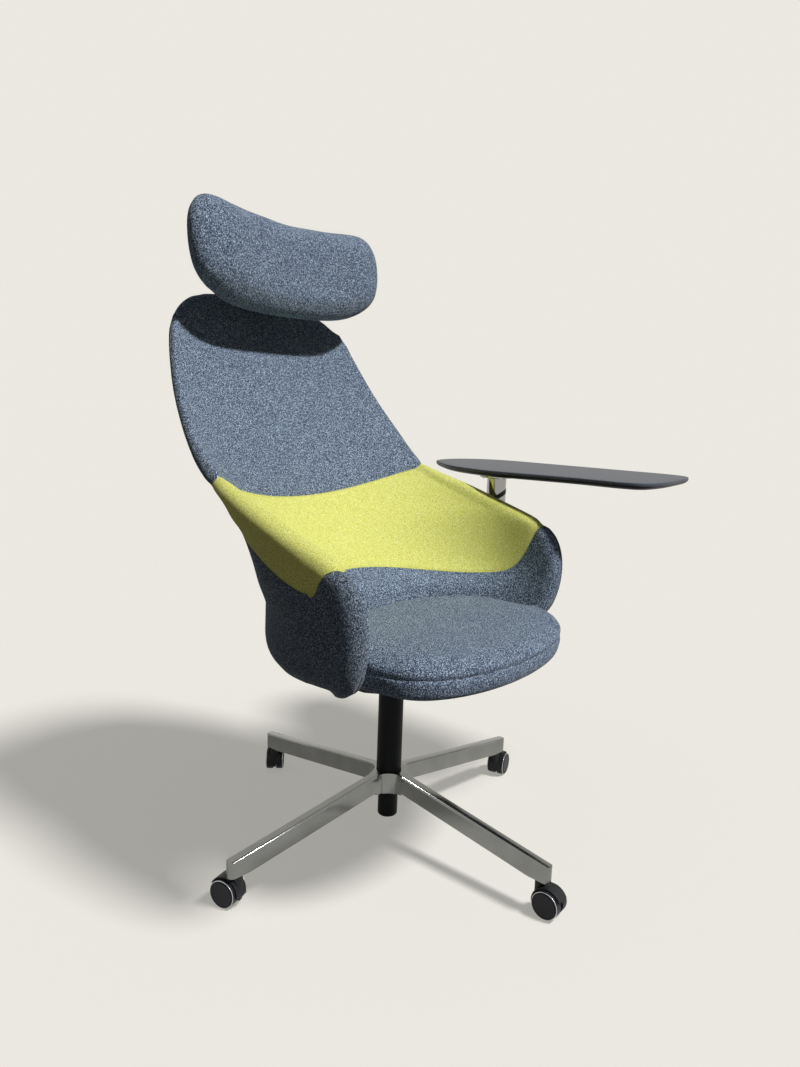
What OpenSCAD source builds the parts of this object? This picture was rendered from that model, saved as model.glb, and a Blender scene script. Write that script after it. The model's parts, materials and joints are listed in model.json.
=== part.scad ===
// Task chair with a writing tablet: a padded wrap-around shell on a four-star base with a gas lift.
// Origin on the floor under the column, +Z up, the sitter looks along -Y and the tablet is on +X.
// The shell and its upholstery are panels of one closed skin that is lofted through stations.

/* [Base] */
// Reach of a leg from the column axis to its tip
leg_reach = 391; // [300:1:420]
// Width of a leg
leg_w = 21; // [16:1:28]
// Height of a leg's end face at the tip
leg_tip_h = 30; // [26:1:36]
// Height of a leg where it leaves the hub
leg_root_h = 35; // [33:1:44]
// Top of the leg at its tip, above the floor
leg_tip_z = 90; // [84:1:100]
// Top of the hub above the floor
hub_z = 137; // [125:1:150]
// Radius of the flat top round the column
hub_r = 33; // [31:1:40]
// Radius of the concave corner between two legs
leg_fillet = 34; // [20:1:60]
// Radius of the rounded edges on top of a leg
leg_edge_r = 4; // [2:0.5:6]
// Angle of the base on its swivel
base_turn = -7.25; // [-45:0.25:45]

/* [Column] */
// Outer diameter of the column tube
tube_d = 50; // [48:1:56]
// Diameter of the tube's foot under the hub
tube_foot_d = 40; // [38:1:44]
// Wall of the column tube
tube_wall = 2; // [1.5:0.25:3]
// Lowest point of the column above the floor
column_foot_z = 38; // [30:1:44]
// Top of the column tube above the floor
tube_top_z = 363; // [330:1:364]
// Diameter of the gas spring's cylinder
spring_d = 28; // [27:0.5:30]
// Travel of the gas spring
lift_travel = 100; // [60:1:120]

/* [Casters] */
// Diameter of a caster wheel
wheel_d = 50; // [46:1:52]
// Width of one wheel of the pair
wheel_w = 16; // [12:0.5:18]
// Width of the fork plate between the two wheels
fork_w = 7; // [5:0.5:9]
// Distance from the stem's axis to the wheel axle
caster_trail = 20; // [16:1:24]
// Distance from a leg's tip back to its caster stem
stem_inset = 21; // [15:1:25]
// Diameter of a caster stem
stem_d = 11; // [8:1:12]
// Diameter of a wheel axle
axle_d = 6; // [5:0.5:8]
// Heading of each caster's trail: left front, right front, right back, left back
caster_turn = [100, 268, 10, 40]; // [0:1:360]

/* [Seat] */
// Underside of the seat pan above the floor
pan_z = 384; // [384:1:460]
// Thickness of the seat pan
pan_t = 7; // [5:0.5:10]
// Half of the seat cushion's width
cushion_half_w = 264; // [240:1:275]
// Reach of the cushion in front of the column
cushion_front = 316; // [280:1:330]
// Reach of the cushion behind the column
cushion_back = 62; // [44:1:64]
// Height of the cushion from its underside to its side seam
cushion_side_h = 44; // [30:1:60]
// Height of the crown above the side seam
cushion_crown = 30; // [20:1:45]

/* [Shell] */
// Half of the distance between the middles of the two arm pads
arm_half_w = 337; // [320:1:350]
// Reach of the shell behind the column
shell_back = 424; // [400:1:440]
// Height of the shell from its bottom edge to the top of the back
shell_h = 684; // [600:1:720]
// Radius of the rounded front edge of an arm
arm_edge_r = 22; // [16:1:24]
// Radius of the rounded side edge of the back
back_edge_r = 10; // [7:1:12]
// Width of the seam between two upholstery panels
seam_gap = 0.4; // [0.3:0.1:1]

/* [Headrest] */
// Half of the headrest's width
headrest_half_w = 267; // [200:1:280]
// Height of the headrest cushion
headrest_h = 204; // [150:1:220]
// Middle of the headrest above the floor
headrest_z = 1130; // [1120:1:1150]
// Distance of the headrest's middle plane behind the column
headrest_y = 312; // [300:1:318]
// Thickness of the headrest cushion
headrest_t = 78; // [60:1:80]
// Lean of the headrest from upright
headrest_lean = 6; // [0:0.5:9]
// Forward curve of the headrest's ends
headrest_curve = 38; // [20:1:45]

/* [Tablet] */
// Length of the writing tablet
tablet_l = 622; // [500:1:660]
// Width of the writing tablet
tablet_w = 348; // [300:1:380]
// Thickness of the writing tablet
tablet_t = 16; // [12:1:20]
// Underside of the tablet above the floor
tablet_z = 711; // [704:1:760]
// Sideways place of the tablet post
post_x = 387; // [385:1:400]
// Fore and aft place of the tablet post
post_y = 2; // [-20:1:10]
// Diameter of the tablet post
post_d = 44; // [36:1:44]
// Middle of the slanting ring above the floor
ring_z = 663; // [600:1:670]
// Slant of the ring
ring_tilt = 31; // [0:1:40]
// Heading that the ring's face leans to
ring_heading = 126; // [0:1:360]

/* [Hidden] */

eps = 0.5;
fit = 0.05;
gap = 0.3;
round_fn = 64;
small_fn = 32;

// Smooth interpolation through evenly numbered stations
function slope_at(tab, j) =
  let (last = len(tab) - 1)
  j <= 0 ? tab[1] - tab[0] : j >= last ? tab[last] - tab[last - 1] : (tab[j + 1] - tab[j - 1]) / 2;
function smooth(tab, v) =
  let (i = max(0, min(len(tab) - 2, floor(v))), t = v - i, t2 = t * t, t3 = t2 * t)
  (2 * t3 - 3 * t2 + 1) * tab[i] + (t3 - 2 * t2 + t) * slope_at(tab, i)
  + (3 * t2 - 2 * t3) * tab[i + 1] + (t3 - t2) * slope_at(tab, i + 1);
function unit(v) = v / norm(v);
function flat(list) = [for (a = list) each a];

// A closed solid between two grids of points, front and back, over the cells that in_cell() chose
function quad(a, b, c, d) = [[a, b, c], [a, c, d]];
// The same with its diagonal on the other pair, for the mirrored half of a closed grid
function turned_quad(a, b, c, d, turned) = turned ? quad(b, c, d, a) : quad(a, b, c, d);
function slab_faces(rows, cols, cells, closed) =
  let (
    n = rows * cols,
    nc = closed ? cols : cols - 1,
    on = function(r, c) r >= 0 && r < rows - 1 && (closed || (c >= 0 && c < nc)) && cells[r][(c + nc) % nc] == 1,
    at = function(r, c) r * cols + (c % cols)
  )
  flat([for (r = [0 : rows - 2], c = [0 : nc - 1]) if (cells[r][c] == 1)
    let (a = at(r, c), b = at(r, c + 1), d = at(r + 1, c), e = at(r + 1, c + 1))
    concat(
      turned_quad(a, d, e, b, c < nc / 2), turned_quad(n + a, n + b, n + e, n + d, c < nc / 2),
      on(r - 1, c) ? [] : quad(a, b, n + b, n + a),
      on(r + 1, c) ? [] : quad(d, n + d, n + e, e),
      on(r, c - 1) ? [] : quad(a, n + a, n + d, d),
      on(r, c + 1) ? [] : quad(b, e, n + e, n + b))]);

// Closed solid of stacked rings, each with the same number of points, with fan caps
module ring_stack(rings) {
  rows = len(rings);
  cols = len(rings[0]);
  mean = function(ring) [for (k = [0 : 2]) let (s = [for (p = ring) p[k]]) (s * [for (p = ring) 1]) / cols];
  pts = concat(flat(rings), [mean(rings[0]), mean(rings[rows - 1])]);
  sides = flat([for (r = [0 : rows - 2], c = [0 : cols - 1])
    let (a = r * cols + c, b = r * cols + (c + 1) % cols)
    quad(a, a + cols, b + cols, b)]);
  low = [for (c = [0 : cols - 1]) [rows * cols, c, (c + 1) % cols]];
  top = [for (c = [0 : cols - 1])
    [rows * cols + 1, (rows - 1) * cols + (c + 1) % cols, (rows - 1) * cols + c]];
  polyhedron(points = pts, faces = concat(sides, low, top), convexity = 6);
}

// Base: four sloping legs in one casting
leg_drop = hub_z - leg_tip_z;
hub_h = leg_root_h + leg_w / 3;
hub_core_r = tube_d / 2 + tube_wall * 1.5;
stem_reach = leg_reach - stem_inset;
leg_slope = atan(leg_drop / (leg_reach - hub_r));
tube_r = tube_d / 2;
foot_r = tube_foot_d / 2;
hub_ledge_z = hub_z - hub_h / 2;
socket_h = leg_tip_h * 0.75;
leg_under_z = leg_tip_z - leg_tip_h;

module leg_section() {
  r = leg_edge_r;
  h = leg_root_h;
  translate([-leg_w / 2, -h]) square([leg_w, h - r]);
  translate([-leg_w / 2 + r, -h]) square([leg_w - 2 * r, h]);
  for (s = [-1, 1]) translate([s * (leg_w / 2 - r), -r]) circle(r = r, $fn = small_fn);
}

module base_profile() {
  polygon([
    [0, hub_z], [hub_r, hub_z], [leg_reach, leg_tip_z], [leg_reach, leg_under_z],
    [stem_reach - leg_w, leg_under_z], [hub_r, hub_z - leg_root_h - leg_w / 4], [hub_r, hub_z - hub_h],
    [0, hub_z - hub_h]
  ]);
}

module base_star() {
  color("silver") rotate([0, 0, base_turn]) difference() {
    intersection() {
      union() {
        for (k = [0 : 3]) rotate([0, 0, 90 * k]) intersection() {
          translate([0, 0, hub_z + leg_drop * hub_r / (leg_reach - hub_r)]) rotate([0, leg_slope, 0])
            rotate([90, 0, 90]) linear_extrude(leg_reach * 1.1) leg_section();
          union() {
            translate([0, -leg_w / 2, 0]) cube([leg_reach - leg_w / 2, leg_w, hub_z + eps]);
            translate([leg_reach - leg_w / 2, 0, 0]) cylinder(r = leg_w / 2, h = hub_z + eps, $fn = round_fn);
          }
        }
        translate([0, 0, hub_z - hub_h]) cylinder(r = hub_core_r, h = hub_h, $fn = round_fn);
        translate([0, 0, hub_z - hub_h]) linear_extrude(hub_h) difference() {
          square(leg_w + 2 * leg_fillet, center = true);
          for (x = [-1, 1], y = [-1, 1])
            translate([x, y] * (leg_w / 2 + leg_fillet)) circle(r = leg_fillet, $fn = round_fn);
        }
      }
      rotate_extrude($fn = round_fn) base_profile();
    }
    translate([0, 0, hub_ledge_z]) cylinder(r = tube_r, h = hub_h, $fn = round_fn);
    cylinder(r = foot_r, h = hub_z, $fn = round_fn);
    for (k = [0 : 3]) rotate([0, 0, 90 * k]) translate([stem_reach, 0, leg_under_z - eps])
      cylinder(d = stem_d, h = socket_h + eps, $fn = round_fn);
  }
}

// Column: the tube, the bush that guides the gas spring, and the rod it slides on
foot_round = foot_r / 4;
tube_floor_z = column_foot_z + foot_round;
tube_floor_t = tube_wall * 2;
bush_l = tube_d * 1.2;
bush_flange = tube_wall * 1.5;
spring_r = spring_d / 2;
spring_wall = spring_d * 0.055;
spring_bottom_z = tube_top_z - bush_l - lift_travel - tube_d;
cone_l = spring_d * 1.3;
boss_z = tube_top_z + bush_flange + gap * 10;
spring_top_z = boss_z + cone_l;
rod_r = spring_d * 0.18;
rod_eye_r = rod_r * 0.8;
piston_h = spring_d * 0.4;

module column_tube() {
  color("black") rotate_extrude($fn = round_fn) difference() {
    union() {
      translate([0, hub_ledge_z]) square([tube_r, tube_top_z - hub_ledge_z]);
      translate([0, column_foot_z + foot_round]) square([foot_r, hub_ledge_z - column_foot_z - foot_round]);
      translate([0, column_foot_z]) square([foot_r - foot_round, foot_round]);
      translate([foot_r - foot_round, column_foot_z + foot_round]) circle(r = foot_round, $fn = small_fn);
    }
    translate([0, tube_floor_z + tube_floor_t])
      square([foot_r - tube_wall, tube_top_z]);
    translate([0, hub_ledge_z + tube_floor_t]) square([tube_r - tube_wall, tube_top_z]);
    translate([0, 0]) square([rod_eye_r + gap, tube_top_z]);
    translate([0, 0]) square([foot_r - foot_round - tube_wall, tube_floor_z]);
    translate([-tube_r, 0]) square([tube_r, tube_top_z * 2]);
  }
}

module guide_bush() {
  color("dimgray") rotate_extrude($fn = round_fn) {
    translate([spring_r + fit, tube_top_z - bush_l])
      square([tube_r - tube_wall - spring_r - fit, bush_l]);
    translate([spring_r + fit, tube_top_z]) square([tube_r - spring_r - fit, bush_flange]);
  }
}

bearing_h = rod_r;
bearing_z = tube_floor_z + tube_floor_t + gap;
rod_shoulder_z = bearing_z + bearing_h;
rod_top_z = spring_top_z - cone_l - spring_d / 2;

module piston_rod() {
  color("lightgray") rotate_extrude($fn = round_fn) {
    translate([0, column_foot_z + eps]) square([rod_eye_r, rod_shoulder_z - column_foot_z]);
    translate([0, rod_shoulder_z]) square([rod_r, rod_top_z - rod_shoulder_z]);
    translate([0, rod_top_z - piston_h]) square([spring_r - spring_wall - fit, piston_h]);
  }
}

module thrust_bearing() {
  color("silver") rotate_extrude($fn = round_fn)
    translate([rod_eye_r, bearing_z]) square([rod_r * 2 - rod_eye_r, bearing_h]);
}

module retaining_clip() {
  color("gray") rotate_extrude($fn = round_fn)
    translate([rod_eye_r, column_foot_z + foot_round - gap - tube_wall]) square([rod_r, tube_wall]);
}

module gas_cylinder() {
  bore_r = spring_r - spring_wall;
  cap_h = spring_d / 2;
  color("black") rotate_extrude($fn = round_fn) difference() {
    polygon([
      [0, spring_bottom_z], [spring_r, spring_bottom_z], [spring_r, boss_z],
      [spring_r * 0.93, spring_top_z], [0, spring_top_z]
    ]);
    translate([0, spring_bottom_z + cap_h]) square([bore_r, rod_top_z - spring_bottom_z - cap_h + gap]);
    translate([0, spring_bottom_z - eps]) square([rod_r + fit, cap_h + 2 * eps]);
  }
}

// Casters: stems pressed into the legs, swivelling hoods, and two wheels on each axle
wheel_r = wheel_d / 2;
hood_wall = wheel_d * 0.045;
hood_r = wheel_r + hood_wall * 1.6;
wheel_gap = gap * 1.5;
wheel_in = fork_w / 2 + wheel_gap;
axle_r = axle_d / 2;
stem_r = stem_d / 2;
stem_foot_z = wheel_r * 1.2;
collar_h = leg_under_z - gap - (wheel_d + hood_wall);

module at_stem(k) {
  rotate([0, 0, base_turn + [180, 270, 0, 90][k]]) translate([stem_reach, 0, 0]) children();
}
module at_caster(k) {
  rotate([0, 0, base_turn + [180, 270, 0, 90][k]]) translate([stem_reach, 0, 0])
    rotate([0, 0, caster_turn[k] - base_turn - [180, 270, 0, 90][k]]) children();
}
module at_axle(k) {
  at_caster(k) translate([caster_trail, 0, wheel_r]) rotate([90, 0, 0]) children();
}

module stem(k) {
  color("gray") at_stem(k) {
    translate([0, 0, stem_foot_z]) cylinder(r = stem_r * 0.7, h = leg_under_z - stem_foot_z, $fn = small_fn);
    translate([0, 0, leg_under_z - collar_h * 0.4]) cylinder(r = stem_r * 1.3, h = collar_h * 0.4, $fn = small_fn);
    translate([0, 0, leg_under_z]) cylinder(r = stem_r, h = socket_h - gap, $fn = small_fn);
  }
}

// Fork plate between the wheels with a curved guard above them and a round housing for the stem
module hood_outline(r, from, to) {
  intersection() {
    circle(r = r, $fn = round_fn);
    polygon(concat([[0, 0]], [for (a = [from : (to - from) / 6 : to]) 2 * r * [cos(a), sin(a)]]));
  }
}

module caster_hood(k) {
  guard_w = fork_w + wheel_w * 1.2;
  house_r = stem_r * 1.55;
  color([0.1, 0.1, 0.11]) difference() {
    union() {
      at_axle(k) {
        translate([0, 0, -fork_w / 2]) linear_extrude(fork_w) {
          circle(r = axle_r * 2.6, $fn = round_fn);
          hood_outline(hood_r, 10, 205);
        }
        translate([0, 0, -guard_w / 2]) linear_extrude(guard_w) difference() {
          hood_outline(hood_r, 25, 190);
          circle(r = wheel_r + hood_wall * 0.6, $fn = round_fn);
        }
      }
      at_caster(k) translate([0, 0, stem_foot_z - hood_wall])
        cylinder(r = house_r, h = leg_under_z - collar_h * 0.4 - gap - stem_foot_z + hood_wall, $fn = round_fn);
    }
    at_caster(k) translate([0, 0, stem_foot_z - gap])
      cylinder(r = stem_r * 0.7 + fit, h = leg_under_z, $fn = small_fn);
    at_axle(k) cylinder(r = axle_r, h = 2 * guard_w, center = true, $fn = small_fn);
    for (s = [-1, 1]) at_axle(k) translate([0, 0, s * (wheel_in + wheel_w / 2)])
      cylinder(r = wheel_r + hood_wall * 0.6, h = wheel_w + 2 * wheel_gap, center = true, $fn = round_fn);
  }
}

module axle(k) {
  color("silver") at_axle(k)
    cylinder(r = axle_r, h = fork_w + 2 * wheel_gap + wheel_w * 1.5, center = true, $fn = small_fn);
}

// Wheel with a rounded tread, a grooved face and a blind hub
module wheel(k, s) {
  tread_r = wheel_w * 0.22;
  face_r = wheel_r * 0.84;
  groove = wheel_w * 0.06;
  color([0.12, 0.12, 0.14]) at_axle(k) rotate([s > 0 ? 0 : 180, 0, 0]) translate([0, 0, wheel_in])
    rotate_extrude($fn = round_fn) difference() {
      union() {
        square([wheel_r, wheel_w - tread_r]);
        square([wheel_r - tread_r, wheel_w]);
        translate([wheel_r - tread_r, wheel_w - tread_r]) circle(r = tread_r, $fn = small_fn);
      }
      translate([0, -eps]) square([axle_r + fit, wheel_w * 0.75 + wheel_gap + eps]);
      translate([axle_r * 2.4, -eps]) square([wheel_r * 0.42, wheel_w * 0.55 + eps]);
      translate([face_r, wheel_w - groove]) square([groove * 2, groove * 2]);
    }
}

// Seat support: plate with a cone socket, seat pan with a raised middle, lever
plate_w = tube_d * 3.8;
plate_t = pan_t * 0.6;
plate_z = pan_z - plate_t;
boss_r = spring_r * 1.5;
dome_r = boss_r * 1.6;
dome_z = spring_top_z + pan_t;
bolt_place = plate_w * 0.41;
bolt_d = tube_d * 0.16;
bolt_head_h = bolt_d * 0.6;
pan_front = cushion_front * 0.8;
pan_front_w = cushion_half_w * 0.7;
pan_back = shell_back * 0.31;
pan_back_w = arm_half_w * 0.67;
pan_mid_y = -arm_half_w * 0.3;

module rounded_plate(w, d, r, t) {
  linear_extrude(t) {
    square([w, d - 2 * r], center = true);
    square([w - 2 * r, d], center = true);
    for (x = [-1, 1], y = [-1, 1]) translate([x * (w / 2 - r), y * (d / 2 - r)]) circle(r = r, $fn = small_fn);
  }
}

module seat_plate() {
  color("dimgray") difference() {
    union() {
      translate([0, 0, plate_z]) rounded_plate(plate_w, plate_w, plate_w * 0.1, plate_t);
      translate([0, 0, boss_z]) cylinder(r = boss_r, h = cone_l, $fn = round_fn);
    }
    translate([0, 0, boss_z]) cylinder(r1 = spring_r, r2 = spring_r * 0.93, h = cone_l, $fn = round_fn);
    for (x = [-1, 1], y = [-1, 1]) translate([x * bolt_place, y * bolt_place, plate_z - eps])
      cylinder(d = bolt_d, h = plate_t + 2 * eps, $fn = small_fn);
  }
}

module plate_bolts() {
  color("gray") for (x = [-1, 1], y = [-1, 1]) translate([x * bolt_place, y * bolt_place, 0]) {
    translate([0, 0, plate_z]) cylinder(d = bolt_d, h = plate_t + pan_t * 0.8, $fn = small_fn);
    translate([0, 0, plate_z - bolt_head_h]) difference() {
      cylinder(d = bolt_d * 1.7, h = bolt_head_h, $fn = small_fn);
      translate([0, 0, -eps]) cylinder(d = bolt_d * 0.8, h = bolt_head_h * 0.6 + eps, $fn = 6);
    }
  }
}

// Plan of the pan: a round nose in front that widens into the bowl of the shell
function pan_outline(inset) = [for (a = [0 : 6 : 354])
  let (front = sin(a) < 0, w = front ? pan_back_w - (pan_back_w - pan_front_w) * pow(-sin(a), 0.8) : pan_back_w)
  [(w - inset) * cos(a), pan_mid_y + (front ? pan_front + pan_mid_y - inset : pan_back - pan_mid_y - inset) * sin(a)]];

module seat_pan() {
  rib_h = pan_t * 0.5;
  rib_w = pan_t * 0.5;
  color([0.15, 0.15, 0.16]) difference() {
    union() {
      translate([0, 0, pan_z]) linear_extrude(pan_t) polygon(pan_outline(0));
      translate([0, 0, pan_z]) cylinder(r = dome_r, h = dome_z - pan_z, $fn = round_fn);
      translate([0, 0, pan_z - rib_h]) linear_extrude(rib_h + eps) {
        difference() {
          polygon(pan_outline(pan_t));
          polygon(pan_outline(pan_t + rib_w));
        }
        intersection() {
          polygon(pan_outline(pan_t));
          for (k = [0 : 7]) rotate(45 * k + 22.5) translate([plate_w * 0.72, -rib_w / 2]) square([plate_w, rib_w]);
        }
      }
    }
    translate([bar_start - gap, post_y - bar_w / 2 - gap, pan_z - 2 * rib_h]) cube([post_x, bar_w + 2 * gap, 2 * rib_h]);
    translate([0, 0, pan_z - eps]) cylinder(r = dome_r - pan_t / 2, h = dome_z - pan_z - pan_t / 2 + eps,
      $fn = round_fn);
    for (x = [-1, 1], y = [-1, 1]) translate([x * bolt_place, y * bolt_place, pan_z - eps])
      cylinder(d = bolt_d, h = pan_t * 0.8 + eps, $fn = small_fn);
    for (x = bracket_screw_x) translate([x, post_y, pan_z - eps])
      cylinder(d = bolt_d, h = pan_t * 0.8 + eps, $fn = small_fn);
  }
}

bar_w = post_d * 1.2;
bar_t = pan_t * 1.3;
bar_start = plate_w * 0.55;
bracket_screw_x = [arm_half_w * 0.42, arm_half_w * 0.62];
swivel_r = post_d * 0.9;
swivel_t = post_d * 0.09;
washer_t = post_d * 0.045;
spigot_r = post_d * 0.27;
spigot_l = post_d * 0.36;

lever_y = -plate_w * 0.28;
lever_r = rod_r * 0.8;
lever_z = plate_z - lever_r * 2;
lever_x0 = plate_w * 0.12;
lever_x1 = plate_w * 1.2;
block_x = plate_w * 0.2;
block_l = plate_w * 0.22;

module lever_bracket() {
  color([0.15, 0.15, 0.16]) difference() {
    translate([block_x, lever_y - lever_r * 2.4, lever_z - lever_r * 1.9])
      cube([block_l, lever_r * 4.8, lever_r * 3.9]);
    translate([block_x - eps, lever_y, lever_z]) rotate([0, 90, 0])
      cylinder(r = lever_r + fit, h = block_l + 2 * eps, $fn = small_fn);
  }
}

module height_lever() {
  paddle_l = tube_d * 0.9;
  paddle_w = tube_d * 0.62;
  paddle_t = lever_r * 1.5;
  color([0.1, 0.1, 0.11]) {
    translate([lever_x0, lever_y, lever_z]) rotate([0, 90, 0])
      cylinder(r = lever_r, h = lever_x1 - lever_x0, $fn = small_fn);
    translate([lever_x1 - paddle_t, lever_y - paddle_w + lever_r, lever_z - paddle_t / 2]) linear_extrude(paddle_t) {
      square([paddle_l - paddle_w / 2, paddle_w]);
      translate([paddle_l - paddle_w / 2, paddle_w / 2]) circle(d = paddle_w, $fn = small_fn);
    }
  }
}

// Seat cushion: round nose, drawn-in side at the boxing seam, crowned top, hollow over the pan's dome.
// Its rear stays full, close to the bowl of the shell.
cushion_z = pan_z + pan_t + gap;
cushion_mid_y = -(cushion_front + cushion_back) / 2 + cushion_back * 0.2;
rear_full_share = 0.75;
function cushion_ring(inset, z, lift) = [for (a = [0 : 7.5 : 352.5])
  let (
    c = cos(a), s = sin(a), rear = pow(max(0, s), 0.5), in = inset * (1 - rear_full_share * rear),
    back = cushion_back - cushion_mid_y - in, front = cushion_front + cushion_mid_y - in,
    x = (cushion_half_w - in) * sign(c) * pow(abs(c), s < 0 ? 1 : 0.8),
    y = cushion_mid_y + (s < 0 ? -front * pow(-s, 0.92) : back * pow(s, 0.82))
  ) [x, y, z - lift * pow(max(0, -s), 3)]];
// Rings from the underside to the crown: inset as a share of the side height, height as a share
cushion_inset_shares = [1.9, 1.15, 0.55, 0.22, 0.06, 0.02, 0.05, 0.0, 0.03, 0.13, 0.42, 1.0, 1.9, 2.8];
cushion_height_shares = [0, 0, 0.12, 0.38, 0.68, 0.9, 1.0, 1.12, 1.3, 1.5, 1.68, 1.8, 1.87, 1.91];
module seat_cushion() {
  well_r = dome_r + 2 * gap;
  low = [for (a = [0 : 7.5 : 352.5]) [well_r * cos(a), well_r * sin(a), cushion_z]];
  well = [for (p = low) [p[0], p[1], dome_z + gap]];
  body = [for (i = [0 : len(cushion_inset_shares) - 1])
    let (h = cushion_height_shares[i], crown = max(0, h - 1))
    cushion_ring(cushion_side_h * cushion_inset_shares[i],
      cushion_z + (h < 1 ? cushion_side_h * h : cushion_side_h + cushion_crown * crown / 0.91),
      crown * cushion_crown * 0.25)];
  color([0.38, 0.42, 0.5]) ring_stack(concat([well, low], body));
}

// Shell skin. Stations run from the bottom edge of the bowl up to the top of the back.
// Each row of the skin leaves the middle of the back and ends at the rounded rim.
shell_z = pan_z + pan_t + gap;
mid_front_y_shares = [0.168, 0.184, 0.204, 0.248, 0.300, 0.377, 0.465, 0.550, 0.667, 0.767, 0.863, 0.935, 0.970];
mid_front_z_shares = [0.000, 0.071, 0.130, 0.166, 0.204, 0.269, 0.338, 0.408, 0.569, 0.715, 0.861, 0.980, 0.998];
rim_x_shares = [0.890, 0.967, 0.997, 1.000, 1.000, 0.994, 0.964, 0.905, 0.905, 0.838, 0.758, 0.710, 0.684];
rim_y_shares = [-0.264, -0.363, -0.406, -0.392, -0.318, -0.142, 0.108, 0.385, 0.538, 0.696, 0.804, 0.842, 0.858];
rim_z_shares = [0.032, 0.074, 0.167, 0.254, 0.308, 0.351, 0.408, 0.478, 0.575, 0.708, 0.832, 0.889, 0.912];
mid_back_y_shares = [0.389, 0.472, 0.500, 0.514, 0.533, 0.566, 0.618, 0.670, 0.767, 0.854, 0.943, 0.993, 0.989];
mid_back_z_shares = [0.000, 0.067, 0.137, 0.189, 0.241, 0.306, 0.364, 0.437, 0.576, 0.715, 0.861, 0.978, 0.998];
rim_round_shares = [0.4, 0.95, 1, 1, 1, 1, 0.90, 0.5, 0.05, 0, 0, 0, -0.25];
rim_face_share = [0, 0, 0, 0, 0, 2, 8, 30, 50, 60, 65, 65, 65] / 90;
front_power_share = [2, 2, 2, 2, 1.8, 1.9, 2, 2, 2, 2, 2, 2.3, 2.4];
back_power_share = [2.2, 2.25, 2.05, 1.9, 1.85, 1.9, 2, 2, 2, 2, 2, 2.3, 2.4];
front_end_share = [88, 88, 88, 88, 86, 84, 76, 60, 60, 60, 60, 65, 65] / 90;
back_end_share = [89, 89, 89, 89, 88, 85, 80, 68, 65, 65, 65, 70, 70] / 90;
rise_power_share = [3, 6, 30, 100, 110, 5, 2.5, 2, 2, 2, 2, 3.4, 3.6];
seam_dip_share = [0, 0, 0.006, 0.020, 0.039, 0.012, 0, 0, 0, 0, 0, 0, 0];

core_front_share = 0.42;
core_back_share = 0.58;
band_low = 4;
band_top = 7;
last_station = len(rim_x_shares) - 1;

function rim_r(v) = back_edge_r + (arm_edge_r - back_edge_r) * smooth(rim_round_shares, v);
function rim_point(v) = [
  arm_half_w * smooth(rim_x_shares, v), shell_back * smooth(rim_y_shares, v),
  shell_z + shell_h * smooth(rim_z_shares, v)];
function rim_frame(v) =
  let (
    e = 0.02, t = unit(rim_point(min(v + e, last_station)) - rim_point(max(v - e, 0))),
    p = 90 * smooth(rim_face_share, v), n0 = [cos(p), sin(p), 0], n = unit(n0 - t * (n0 * t))
  ) [rim_point(v), n, cross(n, t)];

// One row from the middle (t = 0) to its end (t = 1)
function sweep_row(t, end, mid_y, mid_z, power, reach, rise, dip) =
  let (
    a_end = min(89.9, 90 * reach), a = t * a_end, c_end = pow(cos(a_end), 2 / power),
    across = sin(a) / sin(a_end), depth = (pow(cos(a), 2 / power) - c_end) / (1 - c_end)
  ) [end[0] * across, end[1] + (mid_y - end[1]) * depth,
     mid_z + (end[2] - mid_z) * pow(across, rise) - shell_h * dip * sin(180 * pow(t, 1.6))];
function front_skin(v, t) =
  let (f = rim_frame(v))
  sweep_row(t, f[0] - rim_r(v) * f[1], shell_back * smooth(mid_front_y_shares, v),
    shell_z + shell_h * smooth(mid_front_z_shares, v), smooth(front_power_share, v),
    smooth(front_end_share, v), max(2, smooth(rise_power_share, v)), smooth(seam_dip_share, v));
function back_skin(v, t) =
  let (f = rim_frame(v))
  sweep_row(t, f[0] + rim_r(v) * f[1], shell_back * smooth(mid_back_y_shares, v),
    shell_z + shell_h * smooth(mid_back_z_shares, v), smooth(back_power_share, v),
    smooth(back_end_share, v), max(2, smooth(rise_power_share, v)), smooth(seam_dip_share, v));
function nose_skin(v, a, share) =
  let (f = rim_frame(v), r = rim_r(v) * share) f[0] - r * cos(a) * f[1] + r * sin(a) * f[2];
// The band's lower seam bows back along the arm, column by column from the rim over its outside
seam_bow_shares = [0, 0, 0, 0.35, 0.55, 0.55, 0.42, 0.2, 0];
function seam_bow(v, i) =
  let (f = rim_frame(v), k = min(len(seam_bow_shares) - 1, max(0, i - half_steps)))
  arm_edge_r * max(0, 1 - abs(v - band_low)) * seam_bow_shares[k] * cross(f[2], f[1]);

// Steps across one half, from the middle to the rim, and steps round the rim
across_share = [0, 0.13, 0.26, 0.38, 0.5, 0.62, 0.73, 0.82, 0.89, 0.95, 1];
rim_steps = 4;
wrap_steps = 4;
half_steps = len(across_share) - 1;
half_cols = 2 * half_steps + rim_steps;
// How far the band reaches over the outside, row by row from its bottom to its top seam
wrap_border_shares = [0.945, 0.885, 0.70, 0.62, 0.66, 0.76, 0.90];
function wrap_t(v, j) =
  let (b = smooth(wrap_border_shares, max(0, min(len(wrap_border_shares) - 1, 2 * (v - band_low)))))
  j < wrap_steps ? 1 - (1 - b) * j / wrap_steps : b * (half_steps - j) / (half_steps - wrap_steps);
function skin_point(v, i, share) = seam_bow(v, i) + (
  i <= half_steps ? let (t = across_share[i], p = front_skin(v, t))
      share == 1 ? p : p + (back_skin(v, t) - p) * core_front_share
    : i < half_steps + rim_steps ? nose_skin(v, 180 * (i - half_steps) / rim_steps, share)
    : let (t = wrap_t(v, i - half_steps - rim_steps), p = back_skin(v, t))
      share == 1 ? p : p + (front_skin(v, t) - p) * (1 - core_back_share));
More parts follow.
